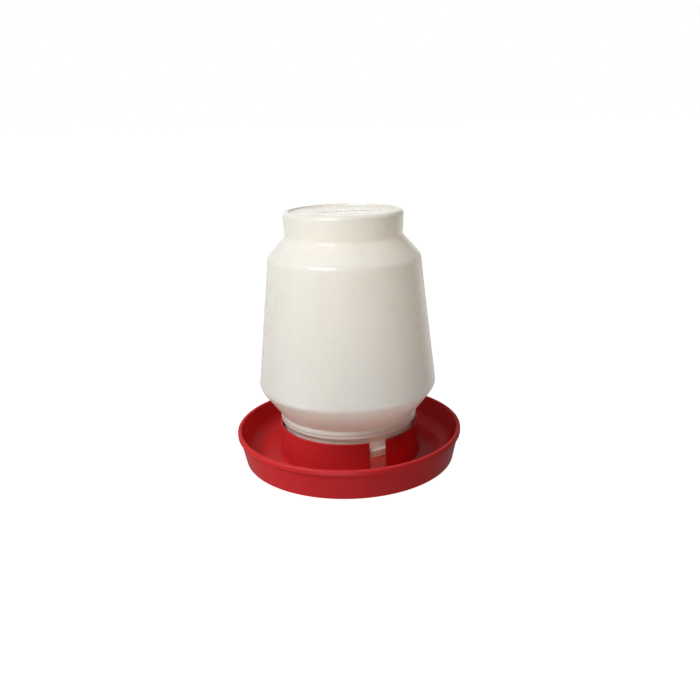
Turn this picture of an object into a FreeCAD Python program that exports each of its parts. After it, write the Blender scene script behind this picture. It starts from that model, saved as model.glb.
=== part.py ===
"""Poultry waterer fount: a translucent jar standing mouth down in a red drinking tray.

Millimetres, +Z up. The origin is the middle of the tray's foot ring, on the surface it stands on.
Azimuths are degrees from -Y towards +X, so the water outlet is at the front, a little to the right.
"""

import FreeCAD, Part
import math
import os

from FreeCAD import Vector

os.makedirs("parts", exist_ok=True)

# Tray
RIM_R = 117.5            # outside of the band round the rim
RIM_TOP = 32.3
RIM_DEPTH = 5.2          # height of the band
RIM_STEP = 1.9           # how far the band stands out from the wall under it
RIM_INNER_R = 113.6
WALL_FOOT_R = 110.0
TROUGH_R = 108.2         # where the wall's inside and the floor would meet without their fillet
TROUGH_FILLET = 16.0
FLOOR_TOP = 3.0
FOOT_RECESS = 1.0        # height of the floor's underside above the foot ring's face
FOOT_WIDTH = 2.0
HOLLOW_R = 103.5         # the underside rises from here, under the trough's fillet, to the wall
HOLLOW_FILLET = 12.0
HOLLOW_TOP_R, HOLLOW_TOP = 109.0, 7.6
GATE_R = 3.0             # moulding gate in the middle of the underside
GATE_HEIGHT = 0.6

# Collar that takes the jar's neck
COLLAR_R = 72.3
COLLAR_DRAFT = 0.6       # extra radius at the collar's foot
COLLAR_BORE_R = 70.1
COLLAR_TOP = 38.3
COLLAR_FILLET = 3.0

# Water outlet through the collar
OUTLET_AZIMUTH = 22.8
OUTLET_WIDTH = 18.0

# Jar: the neck, from the mouth up
MOUTH_Z = 19.8
MOUTH_R = 66.8
MOUTH_BORE_R = 64.8
BEAD_FOOT = 41.9         # underside of the bead, clear of the collar
BEAD_BORE_R = 68.4       # inside the bead
BEAD = [                 # two soft ridges with a shallow groove between them
    (70.4, 42.5, 0.9),
    (70.6, 44.8, 1.3),
    (70.2, 45.6, 0.5),
    (71.0, 46.4, 1.3),
    (71.0, 48.4, 2.0),
]

# Jar: corners of the body's outline
CREASE_R, CREASE_Z = 70.0, 51.2
WIDEST_R, WIDEST_Z = 91.55, 80.2
SHOULDER_R, SHOULDER_Z = 76.5, 212.0
UPPER_NECK_R, UPPER_NECK_Z = 58.4, 232.5
LIP_R, LIP_TOP = 59.6, 256.9
LIP_FLAT_R = 54.0        # inner edge of the ring that the jar stands on while it is filled
RECESS_R = 53.2
RECESS_Z = 254.9
JAR_WALL = 1.8

# Interrupted thread: ridges on the jar's neck, lugs in the collar
THREAD_COUNT = 3
THREAD_PITCH = 12.0
RIDGE_R = 69.3
RIDGE_Z = 27.5
RIDGE_HALF_HEIGHT = 2.0
RIDGE_ARC = 50.0
LUG_R = 67.5
LUG_Z = 31.7
LUG_HALF_HEIGHT = 1.7
LUG_ARC = 26.0
CREST_SHARE = 0.45       # height of a ridge's or lug's crest over that of its root
ROOT_OVERLAP = 0.4       # how far a ridge or lug is sunk in its wall


def at(radius, z):
    """A point of an outline, in the XZ plane."""
    return Vector(radius, 0, z)


def rounded_outline(corners):
    """A closed wire through corners (radius, z, fillet), with each fillet as a tangent arc."""
    ends = []
    count = len(corners)
    for i, (radius, z, fillet) in enumerate(corners):
        corner = at(radius, z)
        if fillet == 0:
            ends.append((corner, None, corner))
            continue
        back = (at(*corners[i - 1][:2]) - corner).normalize()
        ahead = (at(*corners[(i + 1) % count][:2]) - corner).normalize()
        half = back.getAngle(ahead) / 2
        reach = fillet / math.tan(half)
        bisector = (back + ahead).normalize()
        middle = corner + bisector * (fillet / math.sin(half) - fillet)
        ends.append((corner + back * reach, middle, corner + ahead * reach))
    edges = []
    for i, (start, middle, end) in enumerate(ends):
        if middle is not None:
            edges.append(Part.Arc(start, middle, end).toShape())
        following = ends[(i + 1) % count][0]
        if (following - end).Length > 1e-6:
            edges.append(Part.LineSegment(end, following).toShape())
    return Part.Wire(edges)


def turned(corners, degrees=360.0):
    """The solid that an outline sweeps about the Z axis."""
    face = Part.Face(rounded_outline(corners))
    return face.revolve(Vector(0, 0, 0), Vector(0, 0, 1), degrees)


def inset(corners, distance):
    """Corners of the line inside an open chain of corners, which runs upwards with the solid on its left."""
    lines = []
    for (r1, z1, _), (r2, z2, _) in zip(corners, corners[1:]):
        along = (at(r2, z2) - at(r1, z1)).normalize()
        inward = Vector(-along.z, 0, along.x)
        lines.append((at(r1, z1) + inward * distance, along))
    moved = []
    for (p, u), (q, v), (_, _, fillet) in zip(lines, lines[1:], corners[1:]):
        cross = u.x * v.z - u.z * v.x
        step = ((q.x - p.x) * v.z - (q.z - p.z) * v.x) / cross
        corner = p + u * step
        convex = cross > 0
        moved.append((corner.x, corner.z, fillet - distance if convex else fillet + distance))
    return moved


def placed(shape, azimuth):
    """A shape made about +X, turned to an azimuth."""
    copy = shape.copy()
    copy.rotate(Vector(0, 0, 0), Vector(0, 0, 1), azimuth - 90)
    return copy


def thread_segment(root_r, crest_r, z, half_height, arc):
    """A short ridge about +X, sloping with the thread's pitch, from its root to its crest radius."""
    crest = half_height * CREST_SHARE
    section = [
        (root_r, z - half_height, 0),
        (crest_r, z - crest, 0),
        (crest_r, z + crest, 0),
        (root_r, z + half_height, 0),
    ]
    segment = turned(section, arc)
    segment.rotate(Vector(0, 0, 0), Vector(0, 0, 1), -arc / 2)
    lead = math.degrees(math.atan(THREAD_PITCH / (2 * math.pi * crest_r)))
    segment.rotate(Vector(0, 0, z), Vector(1, 0, 0), lead)
    return segment


def jar_outer_corners():
    """The jar's outside from its mouth's edge to the middle of its top."""
    neck = [
        (MOUTH_R, MOUTH_Z, 0.7),
        (MOUTH_R, BEAD_FOOT, 0.8),
        *BEAD,
    ]
    top = [
        (LIP_R, LIP_TOP, 4.0),
        (LIP_FLAT_R, LIP_TOP, 0.7),
        (RECESS_R, RECESS_Z, 0.8),
        (0, RECESS_Z, 0),
    ]
    return neck + jar_body_corners() + top


def jar_body_corners():
    return [
        (CREASE_R, CREASE_Z, 1.2),
        (WIDEST_R, WIDEST_Z, 11.0),
        (SHOULDER_R, SHOULDER_Z, 9.0),
        (UPPER_NECK_R, UPPER_NECK_Z, 6.0),
    ]


def jar_inner_corners():
    """The jar's inside from the middle of its top down to its mouth's edge."""
    ledge = BEAD_FOOT + JAR_WALL
    chain = [
        (BEAD_BORE_R + JAR_WALL, ledge, 0),
        (BEAD_BORE_R + JAR_WALL, CREASE_Z, 1.2),
        *jar_body_corners()[1:],
        (LIP_R, RECESS_Z, 3.5),
        (0, RECESS_Z, 0),
    ]
    body = inset(chain, JAR_WALL)
    top = [(0, RECESS_Z - JAR_WALL, 0)]
    neck = [
        (BEAD_BORE_R, ledge + 1.0, 0.8),
        (MOUTH_BORE_R, ledge, 0.8),
        (MOUTH_BORE_R, MOUTH_Z, 0.7),
    ]
    return top + body[::-1] + neck


def make_water_jar():
    jar = turned(jar_outer_corners() + jar_inner_corners())
    ridge = thread_segment(MOUTH_R - ROOT_OVERLAP, RIDGE_R, RIDGE_Z, RIDGE_HALF_HEIGHT, RIDGE_ARC)
    step = 360 / THREAD_COUNT
    ridges = [placed(ridge, OUTLET_AZIMUTH + i * step) for i in range(THREAD_COUNT)]
    return jar.fuse(ridges)


def tray_corners():
    """The tray's section, from the middle of its underside round the rim and collar to the middle of its floor."""
    underside = [
        (0, FOOT_RECESS, 0),
        (HOLLOW_R, FOOT_RECESS, HOLLOW_FILLET),
        (HOLLOW_TOP_R, HOLLOW_TOP, 0.5),
        (WALL_FOOT_R - FOOT_WIDTH, 0, 0.4),
        (WALL_FOOT_R, 0, 0.6),
    ]
    rim = [
        (RIM_R - RIM_STEP, RIM_TOP - RIM_DEPTH, 0.4),
        (RIM_R, RIM_TOP - RIM_DEPTH, 0.6),
        (RIM_R, RIM_TOP, 1.7),
        (RIM_INNER_R, RIM_TOP, 1.3),
    ]
    trough = [
        (TROUGH_R, FLOOR_TOP, TROUGH_FILLET),
        (COLLAR_R + COLLAR_DRAFT, FLOOR_TOP, COLLAR_FILLET),
    ]
    collar = [
        (COLLAR_R, COLLAR_TOP, 0.7),
        (COLLAR_BORE_R, COLLAR_TOP, 0.5),
        (COLLAR_BORE_R, FLOOR_TOP, 1.0),
        (0, FLOOR_TOP, 0),
    ]
    return underside + rim + trough + collar


def outlet_cutter():
    """The block that opens the collar from the floor up, across its wall and its foot's fillets."""
    inner_r = COLLAR_BORE_R - 6
    outer_r = COLLAR_R + 6
    block = Part.makeBox(
        outer_r - inner_r,
        OUTLET_WIDTH,
        COLLAR_TOP,
        Vector(inner_r, -OUTLET_WIDTH / 2, FLOOR_TOP),
    )
    return placed(block, OUTLET_AZIMUTH)


def make_base_tray():
    tray = turned(tray_corners()).cut(outlet_cutter())
    gate = Part.makeCylinder(GATE_R, GATE_HEIGHT + 0.5, Vector(0, 0, FOOT_RECESS - GATE_HEIGHT))
    lug = thread_segment(COLLAR_BORE_R + ROOT_OVERLAP, LUG_R, LUG_Z, LUG_HALF_HEIGHT, LUG_ARC)
    step = 360 / THREAD_COUNT
    lugs = [placed(lug, OUTLET_AZIMUTH + (i + 0.5) * step) for i in range(THREAD_COUNT)]
    return tray.fuse([gate, *lugs])


def write(name, shape):
    solid = shape.removeSplitter()
    assert solid.isValid() and len(solid.Solids) == 1, name
    box = solid.BoundBox
    print(name, "volume", round(solid.Volume / 1000, 1), "cm3", "z", box.ZMin, box.ZMax, "x", box.XMin, box.XMax)
    solid.exportStep(f"parts/{name}.step")


def brim_volume():
    """Litres inside the jar up to its mouth's edge."""
    cavity = jar_inner_corners() + [(0, MOUTH_Z, 0)]
    return turned(cavity).Volume / 1e6


write("base_tray", make_base_tray())
write("water_jar", make_water_jar())
print("jar holds", round(brim_volume(), 2), "litres to the brim")
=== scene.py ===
import math

import bmesh
import bpy
import numpy as np
from mathutils import Matrix, Vector


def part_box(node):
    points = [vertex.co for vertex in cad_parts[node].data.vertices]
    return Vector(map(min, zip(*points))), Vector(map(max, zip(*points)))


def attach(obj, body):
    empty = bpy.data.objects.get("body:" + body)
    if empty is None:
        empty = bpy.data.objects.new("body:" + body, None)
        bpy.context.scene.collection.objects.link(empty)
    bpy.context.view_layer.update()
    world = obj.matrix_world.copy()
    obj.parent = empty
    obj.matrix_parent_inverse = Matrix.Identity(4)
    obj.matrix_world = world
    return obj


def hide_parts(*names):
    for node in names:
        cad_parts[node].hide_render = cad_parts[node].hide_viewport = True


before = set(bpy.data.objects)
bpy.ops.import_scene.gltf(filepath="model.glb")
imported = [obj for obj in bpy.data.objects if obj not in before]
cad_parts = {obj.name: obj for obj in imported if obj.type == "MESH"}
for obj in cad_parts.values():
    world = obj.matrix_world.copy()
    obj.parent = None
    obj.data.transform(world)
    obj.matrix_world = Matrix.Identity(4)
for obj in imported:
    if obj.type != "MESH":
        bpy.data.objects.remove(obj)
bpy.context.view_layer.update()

MM = 0.001
tray_low, tray_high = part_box("base_tray")
jar_low, jar_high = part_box("water_jar")

# Sizes in millimetres. The frame gives the outer ones, and the rest are the design's own.
RIM_R = tray_high.x / MM
RIM_TOP = 32.3
RIM_DEPTH = 5.2
RIM_STEP = 1.9
RIM_INNER_R = 113.6
WALL_FOOT_R = 110.0
TROUGH_R, TROUGH_FILLET = 108.2, 16.0
FLOOR_TOP = 3.0
FOOT_RECESS = 1.0
FOOT_WIDTH = 2.0
HOLLOW_R, HOLLOW_FILLET = 103.5, 12.0
HOLLOW_TOP_R, HOLLOW_TOP = 109.0, 7.6
GATE_R = 3.0
GATE_Z = 0.4
COLLAR_TOP = tray_high.z / MM
COLLAR_R = 72.3
COLLAR_FOOT_R = 72.9
COLLAR_BORE_R = 70.1
COLLAR_FROM_R, COLLAR_TO_R = 80.0, 66.0    # where the rows of the collar's section start and end on the floor
OUTLET_AZIMUTH = 22.8    # degrees from the front towards +X
OUTLET_HALF = 9.0
OUTLET_EDGE = 0.6        # rounding of the outlet's edges
OUTLET_NEAR = 24.0       # degrees from the outlet's middle within which the columns turn to keep its sides parallel

MOUTH_Z = jar_low.z / MM
MOUTH_R = 66.8
MOUTH_BORE_R = 64.8
BEAD_FOOT = 41.9
BEAD_BORE_R = 68.4
CREASE_R, CREASE_Z = 70.0, 51.2
WIDEST_R, WIDEST_Z = 91.55, 80.2
SHOULDER_R, SHOULDER_Z = 76.5, 212.0
UPPER_NECK_R, UPPER_NECK_Z = 58.4, 232.5
LIP_R, LIP_TOP = 59.6, jar_high.z / MM
LIP_FLAT_R = 54.0
LIP_RISE = 2.0           # of the lip above the closed end
RECESS_R, RECESS_Z = 53.2, LIP_TOP - LIP_RISE
JAR_WALL = 1.8

THREAD_COUNT = 3
THREAD_PITCH = 12.0
RIDGE_R, RIDGE_Z, RIDGE_HALF_HEIGHT, RIDGE_ARC = 69.3, 27.5, 2.0, 50.0
LUG_R, LUG_Z, LUG_HALF_HEIGHT, LUG_ARC = 67.5, 31.7, 1.7, 26.0
CREST_SHARE = 0.45       # the crest's share of a ridge's height
RUN_OUT = 2.5            # length over which a ridge dies away at each end

SEAM_AZIMUTH = 98.0      # the jar's parting line, on both sides
SEAM_HEIGHT = 0.14
SEAM_HALF_WIDTH = 0.4
WAVINESS = 0.09
WELD_LENGTH, WELD_WIDTH, WELD_HEIGHT = 56.0, 1.7, 0.45

SHARP_ANGLE = 38.0       # degrees between faces, above which their edge is drawn sharp
MERGE_DISTANCE = 1e-7    # metres
STUDIO_HALF = 40.0       # metres
LAMPS_LOOK_AT = Vector((0, 0, 0.12))


# ---------------------------------------------------------------- outlines


def rounded(corners, spacing, arc_step=7.5):
    """Points along an open outline of corners (radius, z, fillet).

    Each fillet is an arc in steps of about arc_step degrees, and straight runs are cut to the spacing.
    """
    stops = []
    for i, (radius, z, fillet) in enumerate(corners):
        corner = np.array((radius, z), float)
        if fillet == 0 or i in (0, len(corners) - 1):
            stops.append([corner])
            continue
        back = np.array(corners[i - 1][:2]) - corner
        ahead = np.array(corners[i + 1][:2]) - corner
        back /= np.linalg.norm(back)
        ahead /= np.linalg.norm(ahead)
        half = math.acos(np.clip(back @ ahead, -1, 1)) / 2
        centre = corner + (back + ahead) / np.linalg.norm(back + ahead) * fillet / math.sin(half)
        start = corner + back * fillet / math.tan(half) - centre
        end = corner + ahead * fillet / math.tan(half) - centre
        first = math.atan2(start[1], start[0])
        sweep = (math.atan2(end[1], end[0]) - first + math.pi) % (2 * math.pi) - math.pi
        steps = max(2, round(abs(math.degrees(sweep)) / arc_step))
        angles = first + sweep * np.arange(steps + 1) / steps
        stops.append([centre + fillet * np.array((math.cos(a), math.sin(a))) for a in angles])
    points = [*stops[0]]
    for run in stops[1:]:
        gap = run[0] - points[-1]
        count = max(1, math.ceil(np.linalg.norm(gap) / spacing))
        start = points[-1]
        points += [start + gap * k / count for k in range(1, count)]
        points += run
    return np.array(points)


def outward(points):
    """Unit normals of an outline that runs with the solid on its left."""
    along = np.gradient(points, axis=0)
    along /= np.maximum(np.linalg.norm(along, axis=1, keepdims=True), 1e-9)
    return np.stack([along[:, 1], -along[:, 0]], axis=1)


def inset_line(corners, distance):
    """The corners of the line inside an open chain of corners, at that distance."""
    lines = []
    for (r1, z1, _), (r2, z2, _) in zip(corners, corners[1:]):
        along = np.array((r2 - r1, z2 - z1)) / math.hypot(r2 - r1, z2 - z1)
        lines.append((np.array((r1, z1)) + distance * np.array((-along[1], along[0])), along))
    moved = []
    for (p, u), (q, v), (_, _, fillet) in zip(lines, lines[1:], corners[1:]):
        cross = u[0] * v[1] - u[1] * v[0]
        corner = p + u * ((q - p)[0] * v[1] - (q - p)[1] * v[0]) / cross
        moved.append((corner[0], corner[1], fillet - distance if cross > 0 else fillet + distance))
    return moved


# ---------------------------------------------------------------- meshes


def new_object(name, vertices, faces):
    """A mesh object in metres from points in millimetres, with smooth faces and sharp creases."""
    mesh = bpy.data.meshes.new(name)
    mesh.from_pydata((np.asarray(vertices) * MM).tolist(), [], faces)
    work = bmesh.new()
    work.from_mesh(mesh)
    bmesh.ops.remove_doubles(work, verts=work.verts, dist=MERGE_DISTANCE)
    bmesh.ops.dissolve_degenerate(work, edges=work.edges, dist=MERGE_DISTANCE)
    work.to_mesh(mesh)
    work.free()
    mesh.shade_smooth()
    mesh.set_sharp_from_angle(angle=math.radians(SHARP_ANGLE))
    piece = bpy.data.objects.new(name, mesh)
    bpy.context.scene.collection.objects.link(piece)
    return piece


def grid_faces(rows, columns):
    """Quads of a grid of rows by columns that closes on itself both ways; the last row's quads close the rows."""
    k, j = np.meshgrid(np.arange(rows), np.arange(columns), indexing="ij")
    k2, j2 = (k + 1) % rows, (j + 1) % columns
    quads = np.stack([k * columns + j, k * columns + j2, k2 * columns + j2, k2 * columns + j], axis=-1)
    return quads.reshape(-1, 4)


def on_axis(radius, azimuth, z):
    """XYZ of points at an azimuth in degrees from -Y towards +X."""
    a = np.radians(azimuth)
    return np.stack([radius * np.sin(a), -radius * np.cos(a), z + 0 * a], axis=-1)


def smooth_step(x):
    """0 below 0, 1 above 1, and a soft step between."""
    x = np.clip(x, 0, 1)
    return x * x * (3 - 2 * x)


def turned_from(azimuth, centre):
    """Signed degrees from a centre azimuth, between -180 and 180."""
    return (azimuth - centre + 180) % 360 - 180


def thread_relief(azimuth, z, centre, middle, half_height, arc, radius):
    """How much of a ridge stands at a point, from 0 to 1: a trapezoid section that slopes with the thread."""
    away = turned_from(azimuth, centre)
    rise = THREAD_PITCH * away / 360
    height = np.abs(z - middle - rise)
    crest = half_height * CREST_SHARE
    section = np.clip((half_height - height) / (half_height - crest), 0, 1)
    end = (arc / 2 - np.abs(away)) * math.pi / 180 * radius
    return section * smooth_step(end / RUN_OUT)


# ---------------------------------------------------------------- the jar

neck_outer = [
    (MOUTH_BORE_R + 1.0, MOUTH_Z, 0),
    (MOUTH_R, MOUTH_Z, 0.7),
    (MOUTH_R, COLLAR_TOP, 0),
]
bead = [
    (MOUTH_R, COLLAR_TOP, 0),
    (MOUTH_R, BEAD_FOOT, 0.8),
    (70.4, 42.5, 0.9),
    (70.6, 44.8, 1.3),
    (70.2, 45.6, 0.5),
    (71.0, 46.4, 1.3),
    (71.0, 48.4, 2.0),
]
body_corners = [
    (CREASE_R, CREASE_Z, 1.2),
    (WIDEST_R, WIDEST_Z, 11.0),
    (SHOULDER_R, SHOULDER_Z, 9.0),
    (UPPER_NECK_R, UPPER_NECK_Z, 6.0),
]
jar_top = [
    (LIP_R, LIP_TOP, 4.0),
    (LIP_FLAT_R, LIP_TOP, 0.7),
    (RECESS_R, RECESS_Z, 0.8),
    (0, RECESS_Z, 0),
]
ledge = BEAD_FOOT + JAR_WALL
inner_chain = [
    (BEAD_BORE_R + JAR_WALL, ledge, 0),
    (BEAD_BORE_R + JAR_WALL, CREASE_Z, 1.2),
    *body_corners[1:],
    (LIP_R, RECESS_Z, 3.5),
    (0, RECESS_Z, 0),
]
jar_inside = [
    (0, RECESS_Z - JAR_WALL, 0),
    *inset_line(inner_chain, JAR_WALL)[::-1],
    (BEAD_BORE_R, ledge + 1.0, 0.8),
    (MOUTH_BORE_R, ledge, 0.8),
    (MOUTH_BORE_R, MOUTH_Z, 0.7),
    (MOUTH_BORE_R + 1.0, MOUTH_Z, 0),
]


def jar_azimuths():
    """The jar's columns, every 1.5 degrees and closer together across the two parting lines."""
    offsets = np.array((-0.8, -0.45, -0.3, -0.15, 0, 0.15, 0.3, 0.45, 0.8))
    seams = [SEAM_AZIMUTH, SEAM_AZIMUTH + 180]
    even = np.arange(0, 360, 1.5)
    clear = [a for a in even if min(abs(turned_from(a, seam)) for seam in seams) > 1.1]
    return np.sort(np.concatenate([clear, *(seam + offsets for seam in seams)]) % 360)


def make_jar():
    """The hollow jar: an outline turned round the axis, with its parting line, waviness and thread ridges."""
    threaded = rounded(neck_outer, 0.5)
    above = rounded([*bead, *body_corners, *jar_top], 3.0)
    outer = np.concatenate([threaded[:-1], above])
    inner = rounded(jar_inside, 6.0, 11.0)[:-1]
    profile = np.concatenate([outer, inner])
    normal = outward(profile)
    is_outer = np.arange(len(profile)) < len(outer)
    azimuth = jar_azimuths()

    r, a = np.meshgrid(profile[:, 0], azimuth, indexing="ij")
    z, _ = np.meshgrid(profile[:, 1], azimuth, indexing="ij")
    nr, nz = (np.repeat(normal[:, i : i + 1], len(azimuth), axis=1) for i in (0, 1))
    outside = np.repeat(is_outer[:, None], len(azimuth), axis=1)

    relief = np.zeros_like(r)
    # The two halves of the mould meet in a fine raised line down both sides.
    for side in (0, 180):
        across = np.radians(turned_from(a, SEAM_AZIMUTH + side)) * r
        line = np.exp(-((across / SEAM_HALF_WIDTH) ** 2)) * SEAM_HEIGHT * np.abs(nr)
        relief += np.where(outside & (r > RECESS_R + 1), line, 0)
    # Blown walls are never quite true: a fraction of a millimetre of slow waviness on the free panels.
    free = smooth_step((z - WIDEST_Z) / 30) * smooth_step((SHOULDER_Z - z) / 30)
    wave = np.sin(np.radians(2 * a) + 0.6) * np.sin(z / 27) + 0.6 * np.sin(np.radians(5 * a) + z / 41)
    wave_top = 1.6
    relief += np.where(outside, WAVINESS * (wave - wave_top) * free, 0)

    radius = r + nr * relief
    height = z + nz * relief
    # Thread ridges on the neck.
    for i in range(THREAD_COUNT):
        centre = OUTLET_AZIMUTH + i * 360 / THREAD_COUNT
        share = thread_relief(a, z, centre, RIDGE_Z, RIDGE_HALF_HEIGHT, RIDGE_ARC, MOUTH_R)
        on_neck = outside & (z > MOUTH_Z + 1) & (z < COLLAR_TOP) & (r < MOUTH_R + 0.1)
        radius += np.where(on_neck, share * (RIDGE_R - MOUTH_R), 0)
    points = on_axis(radius, a, height)
    return new_object("jar_shell", points.reshape(-1, 3), grid_faces(*r.shape).tolist())


def make_pinch_weld():
    """The low welded line that closing the mould leaves across the jar's recessed end."""
    along = np.linspace(-1, 1, 60)
    around = np.linspace(0, 2 * math.pi, 17)[:-1]
    s, t = np.meshgrid(along, around, indexing="ij")
    taper = np.sqrt(np.clip(1 - np.abs(s) ** 6, 0, 1))
    wander = 0.25 * np.sin(s * 5.1) + 0.12 * np.sin(s * 13.0)
    x = s * WELD_LENGTH / 2
    y = np.cos(t) * WELD_WIDTH / 2 * taper + wander
    z = RECESS_Z + np.sin(t) * WELD_HEIGHT * taper * (1 + 0.15 * np.sin(s * 19))
    turn = math.radians(SEAM_AZIMUTH - 90)
    turned_x = x * math.cos(turn) - y * math.sin(turn)
    turned_y = x * math.sin(turn) + y * math.cos(turn)
    points = np.stack([turned_x, turned_y, z], axis=-1)
    open_ended = grid_faces(*s.shape)[: -len(around)].tolist()
    return new_object("jar_pinch_weld", points.reshape(-1, 3), open_ended)


# ---------------------------------------------------------------- the tray

tray_outside = [
    (0, GATE_Z, 0),
    (GATE_R, GATE_Z, 0.25),
    (GATE_R, FOOT_RECESS, 0.25),
    (HOLLOW_R, FOOT_RECESS, HOLLOW_FILLET),
    (HOLLOW_TOP_R, HOLLOW_TOP, 0.5),
    (WALL_FOOT_R - FOOT_WIDTH, 0, 0.4),
    (WALL_FOOT_R, 0, 0.6),
    (RIM_R - RIM_STEP, RIM_TOP - RIM_DEPTH, 0.4),
    (RIM_R, RIM_TOP - RIM_DEPTH, 0.6),
    (RIM_R, RIM_TOP, 1.7),
    (RIM_INNER_R, RIM_TOP, 1.3),
    (TROUGH_R, FLOOR_TOP, TROUGH_FILLET),
    (COLLAR_FROM_R, FLOOR_TOP, 0),
]
collar_section = [
    (COLLAR_FROM_R, FLOOR_TOP, 0),
    (COLLAR_FOOT_R, FLOOR_TOP, 3.0),
    (COLLAR_R, COLLAR_TOP, 0.7),
    (COLLAR_BORE_R, COLLAR_TOP, 0.5),
    (COLLAR_BORE_R, FLOOR_TOP, 1.0),
    (COLLAR_TO_R, FLOOR_TOP, 0),
]
well_floor = [(COLLAR_TO_R, FLOOR_TOP, 0), (0, FLOOR_TOP, 0)]


def tray_columns():
    """The tray's columns round the circle, and the outlet's half angle.

    A column is degrees from the outlet's middle, inset of the collar's section, and whether the collar is cut away.
    """
    edge = math.degrees(math.asin(OUTLET_HALF / (COLLAR_BORE_R + COLLAR_R) * 2))
    degree = math.degrees(1 / COLLAR_R)
    turns = [math.radians(t) for t in (0, 22.5, 45, 67.5, 90)]
    rounding = [
        (edge + OUTLET_EDGE * (1 - math.sin(t)) * degree, OUTLET_EDGE * (1 - math.cos(t)), False)
        for t in turns
    ]
    open_half = [(edge * k / 6, 0, True) for k in range(6, -1, -1)]
    wall = [(edge + OUTLET_EDGE * degree + step, 0, False) for step in (0.35, 0.9, 1.9, 3.2, 4.6)]
    side = [*wall[::-1], *rounding, *open_half]
    mirrored = [(-d, inset, cut) for d, inset, cut in side]
    last = side[0][0]
    rest = [(d, 0, False) for d in np.linspace(last, 360 - last, 232)[1:-1]]
    # Minus side up to the open middle, plus side, then the rest of the circle.
    return [*mirrored, *side[:-1][::-1], *rest], edge


def make_tray():
    """The tray: an outline turned round the axis, whose collar rows lie flat on the floor across the outlet."""
    outside = rounded(tray_outside, 4.0)
    collar = rounded(collar_section, 0.55)
    well = rounded(well_floor, 6.0)
    profile = np.concatenate([outside[:-1], collar, well[1:]])
    start = len(outside) - 1
    stop = start + len(collar)
    normal = outward(profile)
    columns, edge = tray_columns()
    turn = np.array([c[0] for c in columns])
    inset = np.array([c[1] for c in columns])
    cut = np.array([c[2] for c in columns])

    r, t = np.meshgrid(profile[:, 0], turn, indexing="ij")
    z, _ = np.meshgrid(profile[:, 1], turn, indexing="ij")
    in_collar = np.zeros(len(profile), bool)
    in_collar[start:stop] = True
    collar_rows = in_collar[:, None] & np.ones_like(cut)[None]

    # The outlet's edges are rounded: near them the collar's section draws in.
    clear_of_floor = np.clip((z - FLOOR_TOP) / 1.5, 0, 1)
    draw = inset[None] * clear_of_floor * collar_rows
    r = r - normal[:, :1] * draw
    z = z - normal[:, 1:] * draw

    # Across the outlet the collar's rows lie flat on the floor.
    length = np.concatenate([[0], np.cumsum(np.linalg.norm(np.diff(collar, axis=0), axis=1))])
    flat = np.zeros(len(profile))
    flat[start:stop] = collar[0, 0] + (collar[-1, 0] - collar[0, 0]) * length / length[-1]
    open_floor = collar_rows & cut[None]
    r = np.where(open_floor, flat[:, None], r)
    z = np.where(open_floor, FLOOR_TOP, z)

    # Lugs inside the collar.
    azimuth = t + OUTLET_AZIMUTH
    bore = collar_rows & ~cut[None] & (np.abs(r - COLLAR_BORE_R) < 0.05)
    for i in range(THREAD_COUNT):
        centre = OUTLET_AZIMUTH + (i + 0.5) * 360 / THREAD_COUNT
        share = thread_relief(azimuth, z, centre, LUG_Z, LUG_HALF_HEIGHT, LUG_ARC, COLLAR_BORE_R)
        r = np.where(bore, r - share * (COLLAR_BORE_R - LUG_R), r)

    # The outlet's sides are parallel, so its columns turn a little with the radius.
    wall_edge = np.degrees(np.arcsin(OUTLET_HALF / np.clip(r, 64, 84)))
    away = turned_from(azimuth, OUTLET_AZIMUTH)
    size = np.abs(away)
    inside = size * wall_edge / edge
    beyond = wall_edge + (size - edge) * (OUTLET_NEAR - wall_edge) / (OUTLET_NEAR - edge)
    warped = np.where(size <= edge, inside, np.where(size < OUTLET_NEAR, beyond, size)) * np.sign(away)
    points = on_axis(r, warped + OUTLET_AZIMUTH, z)
    return new_object("drinker_tray", points.reshape(-1, 3), grid_faces(*r.shape)[: -len(turn)].tolist())


# ---------------------------------------------------------------- materials


class Nodes:
    """A short way to write a node tree."""

    def __init__(self, tree):
        self.tree = tree

    def add(self, kind, **inputs):
        node = self.tree.nodes.new(kind)
        for name, value in inputs.items():
            self.put(node.inputs[name.replace("_", " ")], value)
        return node

    def put(self, socket, value):
        if isinstance(value, bpy.types.NodeSocket):
            self.tree.links.new(value, socket)
        else:
            socket.default_value = value

    def math(self, operation, a, b=0.0, clamp=False):
        node = self.tree.nodes.new("ShaderNodeMath")
        node.operation = operation
        node.use_clamp = clamp
        self.put(node.inputs[0], a)
        self.put(node.inputs[1], b)
        return node.outputs[0]

    def ramp(self, value, low, high, start=0.0, end=1.0):
        node = self.tree.nodes.new("ShaderNodeMapRange")
        for name, number in zip(("Value", "From Min", "From Max", "To Min", "To Max"), (value, low, high, start, end)):
            self.put(node.inputs[name], number)
        return node.outputs[0]

    def mix(self, share, first, second):
        node = self.tree.nodes.new("ShaderNodeMix")
        node.data_type = "RGBA"
        self.put(node.inputs[0], share)
        self.put(node.inputs[6], first)
        self.put(node.inputs[7], second)
        return node.outputs[2]


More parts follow.
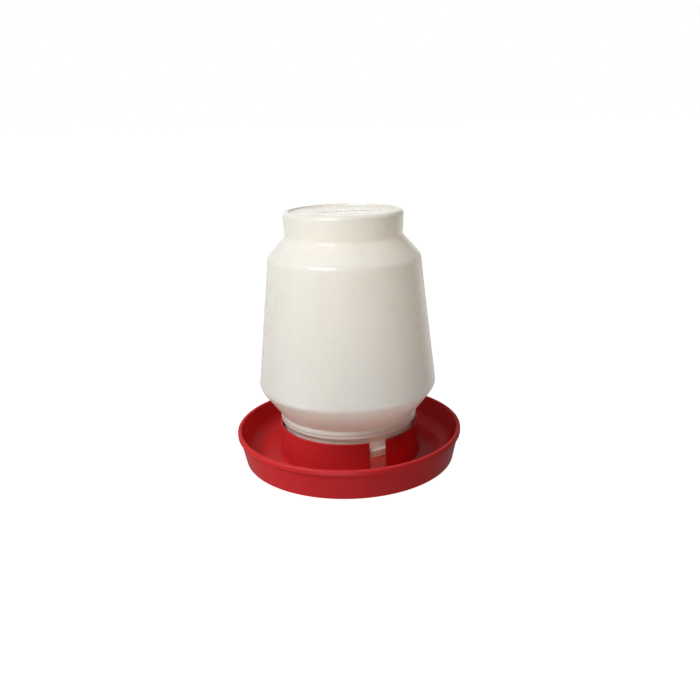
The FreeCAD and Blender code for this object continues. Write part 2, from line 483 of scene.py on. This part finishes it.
class MaterialNodes(Nodes):
    """The node tree of a new material, with its shader and the object's own coordinates."""

    def __init__(self, name):
        self.material = bpy.data.materials.new(name)
        self.material.use_nodes = True
        super().__init__(self.material.node_tree)
        self.shader = self.tree.nodes["Principled BSDF"]
        self.place = self.add("ShaderNodeTexCoord").outputs["Object"]

    def set(self, **values):
        for name, value in values.items():
            self.put(self.shader.inputs[name.replace("_", " ")], value)

    def stretched(self, scale):
        return self.add("ShaderNodeMapping", Vector=self.place, Scale=scale).outputs[0]

    def noise(self, vector, scale, detail=2.0, roughness=0.5):
        node = self.add("ShaderNodeTexNoise", Vector=vector, Scale=scale, Detail=detail, Roughness=roughness)
        return node.outputs["Fac"]

    def bump(self, height, strength, distance, after=None):
        node = self.add("ShaderNodeBump", Height=height, Strength=strength, Distance=distance)
        if after is not None:
            self.put(node.inputs["Normal"], after)
        return node.outputs[0]

    def round_place(self, along, around):
        """Coordinates that run round the object: radius and height times along, turn times around."""
        parts = self.add("ShaderNodeSeparateXYZ", Vector=self.place)
        x, y, z = parts.outputs
        radius = self.math("SQRT", self.math("ADD", self.math("MULTIPLY", x, x), self.math("MULTIPLY", y, y)))
        turn = self.math("ARCTAN2", y, x)
        joined = self.add(
            "ShaderNodeCombineXYZ",
            X=self.math("MULTIPLY", radius, along),
            Y=self.math("MULTIPLY", turn, around),
            Z=self.math("MULTIPLY", z, along),
        )
        return joined.outputs[0]


def jar_plastic():
    """Natural polyethylene: milky, lets light through, waxy surface with faint die lines down the walls."""
    n = MaterialNodes("natural_polyethylene")
    clouds = n.noise(n.stretched((1, 1, 0.45)), 14, 3)
    streaks = n.noise(n.stretched((1, 1, 0.02)), 130, 2)
    peel = n.noise(n.place, 900, 2)
    grain = n.noise(n.place, 2600, 1)
    colour = n.mix(n.ramp(clouds, 0.3, 0.7), (0.81, 0.80, 0.73, 1), (0.85, 0.845, 0.78, 1))
    colour = n.mix(n.ramp(streaks, 0.55, 0.8, 0, 0.25), colour, (0.77, 0.75, 0.67, 1))
    rough = n.math("ADD", n.ramp(clouds, 0.3, 0.7, 0.25, 0.30), n.ramp(peel, 0.3, 0.7, -0.02, 0.03))
    bumped = n.bump(streaks, 0.25, 0.00012)
    bumped = n.bump(peel, 0.22, 0.00008, bumped)
    bumped = n.bump(grain, 0.12, 0.00003, bumped)
    n.set(Base_Color=colour, Roughness=rough, Normal=bumped, IOR=1.52)
    n.set(Subsurface_Weight=0.75, Subsurface_Radius=(1.0, 0.88, 0.74), Subsurface_Scale=0.006)
    return n.material


def tray_plastic():
    """Red moulded polyethylene: satin, with a fine texture, faint flow marks and light scuffs that run round it."""
    n = MaterialNodes("red_tray_plastic")
    mottle = n.noise(n.place, 22, 3)
    flow = n.noise(n.round_place(60, 1.4), 1.0, 2)
    scuffs = n.noise(n.round_place(2600, 9), 1.0, 3, 0.6)
    fine = n.noise(n.place, 1500, 2)
    colour = n.mix(n.ramp(mottle, 0.3, 0.7), (0.61, 0.024, 0.028, 1), (0.67, 0.028, 0.033, 1))
    colour = n.mix(n.ramp(flow, 0.5, 0.75, 0, 0.15), colour, (0.57, 0.021, 0.025, 1))
    scuffed = n.ramp(scuffs, 0.66, 0.8, 0, 0.3)
    colour = n.mix(scuffed, colour, (0.66, 0.10, 0.10, 1))
    rough = n.math("ADD", n.ramp(mottle, 0.3, 0.7, 0.20, 0.27), n.ramp(scuffs, 0.6, 0.8, 0.0, 0.16))
    bumped = n.bump(fine, 0.16, 0.00006)
    bumped = n.bump(scuffs, 0.10, 0.00004, bumped)
    n.set(Base_Color=colour, Roughness=rough, Normal=bumped, IOR=1.5, Specular_IOR_Level=0.18)
    return n.material


def floor_paint():
    """Plain pale studio floor."""
    n = MaterialNodes("pale_floor")
    faint = n.noise(n.place, 3, 2)
    colour = n.mix(faint, (0.90, 0.90, 0.90, 1), (0.92, 0.92, 0.915, 1))
    n.set(Base_Color=colour, Roughness=0.9, Specular_IOR_Level=0.1)
    n.set(Emission_Color=WHITE, Emission_Strength=0.95)
    return n.material


# ---------------------------------------------------------------- studio

WORLD_LEFT = (0.12, 0.12, 0.115, 1)
WORLD_RIGHT = (0.10, 0.09, 0.085, 1)
WORLD_BELOW = (0.2, 0.2, 0.2, 1)
WORLD_BEHIND = (0.25, 0.25, 0.24, 1)
WHITE = (1, 1, 1, 1)


def make_floor():
    """A wide floor that the camera sees, and that neither shades nor lights the object."""
    mesh = bpy.data.meshes.new("studio_floor")
    corners = [(x * STUDIO_HALF, y * STUDIO_HALF, 0) for x, y in ((-1, -1), (1, -1), (1, 1), (-1, 1))]
    mesh.from_pydata(corners, [], [(0, 1, 2, 3)])
    floor = bpy.data.objects.new("studio_floor", mesh)
    bpy.context.scene.collection.objects.link(floor)
    mesh.materials.append(floor_paint())
    floor.visible_diffuse = floor.visible_glossy = floor.visible_transmission = floor.visible_shadow = False


def light_only(lamp, pieces):
    """Let a lamp light these pieces and nothing else."""
    receivers = bpy.data.collections.new("lit_by_" + lamp.name)
    for piece in pieces:
        receivers.objects.link(piece)
    lamp.light_linking.receiver_collection = receivers


def soft_box(name, azimuth, elevation, distance, width, height, power):
    """A rectangular light that looks at the middle of the object; azimuth is from the front towards +X."""
    data = bpy.data.lights.new(name, "AREA")
    data.shape = "RECTANGLE"
    data.size, data.size_y = width, height
    data.energy = power
    lamp = bpy.data.objects.new(name, data)
    lamp.visible_camera = False
    a, e = math.radians(azimuth), math.radians(elevation)
    away = Vector((math.sin(a) * math.cos(e), -math.cos(a) * math.cos(e), math.sin(e)))
    lamp.location = LAMPS_LOOK_AT + away * distance
    lamp.rotation_mode = "QUATERNION"
    lamp.rotation_quaternion = (-away).to_track_quat("-Z", "Y")
    bpy.context.scene.collection.objects.link(lamp)
    return lamp


def inner_lamp(name, height, radius, power):
    """A small lamp inside the jar: it stands for the light that the milky walls let in, and scatter."""
    data = bpy.data.lights.new(name, "POINT")
    data.energy = power
    data.color = (1.0, 0.88, 0.79)
    data.shadow_soft_size = radius
    lamp = bpy.data.objects.new(name, data)
    lamp.location = (0, 0, height)
    bpy.context.scene.collection.objects.link(lamp)
    return lamp


def make_camera():
    """In front of the object and a little above it, tipped down and rolled by about a degree."""
    distance, height = 0.7441, 0.3421
    pitch, yaw, roll = (math.radians(v) for v in (17.13, 0.245, -1.55))
    data = bpy.data.cameras.new("camera")
    data.sensor_width = 36.0
    data.lens = 38.69
    camera = bpy.data.objects.new("camera", data)
    forward = Vector((math.sin(yaw) * math.cos(pitch), math.cos(yaw) * math.cos(pitch), -math.sin(pitch)))
    right = Vector((math.cos(yaw), -math.sin(yaw), 0))
    up = right.cross(forward)
    right, up = right * math.cos(roll) + up * math.sin(roll), up * math.cos(roll) - right * math.sin(roll)
    turn = Matrix((right, up, -forward)).transposed()
    camera.matrix_world = Matrix.Translation((0, -distance, height)) @ turn.to_4x4()
    bpy.context.scene.collection.objects.link(camera)
    bpy.context.scene.camera = camera


def make_world():
    """Dim surroundings, a little dimmer and warmer on the right and paler behind, and a white backdrop."""
    world = bpy.data.worlds.new("studio")
    world.use_nodes = True
    bpy.context.scene.world = world
    n = Nodes(world.node_tree)
    direction = n.add("ShaderNodeSeparateXYZ", Vector=n.add("ShaderNodeTexCoord").outputs["Generated"]).outputs
    upper = n.mix(n.ramp(direction["X"], -0.8, 0.8), WORLD_LEFT, WORLD_RIGHT)
    upper = n.mix(n.ramp(direction["Y"], 0.3, 0.7), upper, WORLD_BEHIND)
    around = n.mix(n.ramp(direction["Z"], -0.2, 0.1), WORLD_BELOW, upper)
    backdrop = n.add("ShaderNodeLightPath").outputs["Is Camera Ray"]
    background = n.tree.nodes["Background"]
    n.put(background.inputs["Color"], n.mix(backdrop, around, WHITE))
    n.put(background.inputs["Strength"], 1.0)


# ---------------------------------------------------------------- assembly

make_camera()
make_world()
make_floor()
soft_box("overhead", 0, 88, 1.3, 0.7, 0.7, 2.8)

jar_material = jar_plastic()
jar_pieces = (make_jar(), make_pinch_weld())
jar_lamps = (
    soft_box("jar_key", -37, 46, 1.2, 0.55, 0.26, 9.0),
    soft_box("front", -20, 12, 1.8, 1.2, 0.6, 2.2),
    inner_lamp("glow", 0.15, 0.045, 0.065),
    inner_lamp("glow_top", 0.228, 0.02, 0.055),
    soft_box("behind", 180, 20, 1.5, 1.6, 0.8, 3.2),
    soft_box("behind_left", -145, -10, 1.5, 1.0, 1.0, 1.5),
    soft_box("behind_right", 145, -10, 1.5, 1.0, 1.0, 2.4),
    soft_box("under_left", -60, -30, 1.6, 1.2, 0.9, 6.8),
    soft_box("under_right", 50, -35, 1.6, 1.2, 0.9, 5.5),
)
for lamp in jar_lamps:
    light_only(lamp, jar_pieces)
for piece in jar_pieces:
    piece.data.materials.append(jar_material)
    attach(piece, "jar")
    if piece.name == "jar_shell":
        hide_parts("water_jar")

tray = make_tray()
tray.data.materials.append(tray_plastic())
tray_lamps = (
    soft_box("tray_key", -52, 43, 1.2, 0.6, 0.28, 7.6),
    soft_box("left_low", -80, 15, 1.6, 0.9, 0.9, 5.5),
    soft_box("left_high", -75, 55, 1.5, 1.0, 0.8, 2.6),
    soft_box("front_low", -14, -16, 1.8, 1.2, 0.5, 8.5),
)
for lamp in tray_lamps:
    light_only(lamp, (tray,))
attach(tray, "base")
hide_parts("base_tray")

bpy.context.scene.view_settings.view_transform = "Standard"
